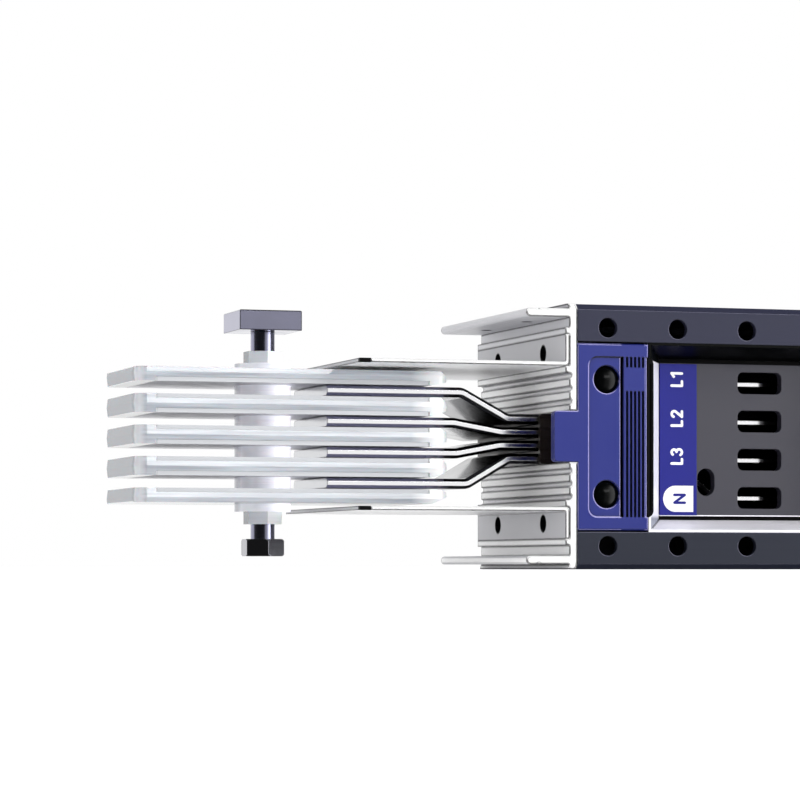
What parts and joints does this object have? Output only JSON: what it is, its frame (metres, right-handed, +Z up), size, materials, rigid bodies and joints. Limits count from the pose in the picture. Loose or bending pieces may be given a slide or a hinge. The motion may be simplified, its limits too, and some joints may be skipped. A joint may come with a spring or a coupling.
{
  "type": "busway",
  "caption": "Short aluminium busway length with a stacked bolted joint at one end and a blue-framed plug-in outlet in its side.",
  "frame": {"origin": "centre of the casing's underside, halfway along and across the casing", "axes": "+X along the busway away from the joint, +Y from the outlet side to the rear, +Z up"},
  "size_m": [0.514, 0.132, 0.13],
  "materials": {
    "steel_head": "ground, bright",
    "steel_nut": "blackened, oiled",
    "sleeve": "moulded hexagon tube, off-white",
    "insulator": "moulded polyester, off-white",
    "splice": "tin plated, satin",
    "bar": "tin plated, drawn edges",
    "holder": "moulded, dark brown",
    "board": "machined laminate board",
    "profile": "extruded, anodised",
    "sheet": "folded sheet, brushed",
    "casing": "extruded, anodised dark grey",
    "screw": "zinc plated",
    "bezel": "moulded ABS, blue, fine texture",
    "rubber": "moulded seal, matt",
    "plug": "moulded, domed face",
    "hood": "moulded, smooth, black",
    "liner": "pressed, polished",
    "housing": "moulded, dark grey",
    "contact": "moulded, dark grey",
    "label": "printed film, blue with white marks"
  },
  "bodies": {
    "root": {"bar_holder": "holder", "bar_support_1": "board", "bar_support_2": "board", "bezel_screws": "plug", "bottom_cover": "casing", "busbar_l1": "bar", "busbar_l2": "bar", "busbar_l3": "bar", "busbar_n": "bar", "contact_block": "contact", "cover_screws": "screw", "end_cover": "casing", "end_cover_screws": "screw", "front_side_channel": "casing", "insulating_sleeve": "sleeve", "insulator_plate_1": "insulator", "insulator_plate_2": "insulator", "insulator_plate_3": "insulator", "insulator_plate_4": "insulator", "insulator_plate_5": "insulator", "joint_nut": "steel_nut", "left_bezel": "bezel", "left_outlet_seal": "rubber", "lower_end_profile": "profile", "lower_joint_sheet": "sheet", "lower_sheet_pad": "rubber", "lower_window_liner": "liner", "outlet_housing": "housing", "phase_label": "label", "rear_side_channel": "casing", "right_bezel": "bezel", "right_outlet_seal": "rubber", "splice_plate_1": "splice", "splice_plate_2": "splice", "splice_plate_3": "splice", "splice_plate_4": "splice", "splice_plate_5": "splice", "splice_plate_6": "splice", "splice_plate_7": "splice", "splice_plate_8": "splice", "tee_bolt": "steel_head", "top_cover": "casing", "upper_end_profile": "profile", "upper_joint_sheet": "sheet", "upper_sheet_pad": "rubber", "upper_window_liner": "hood"}
  },
  "joints": []
}
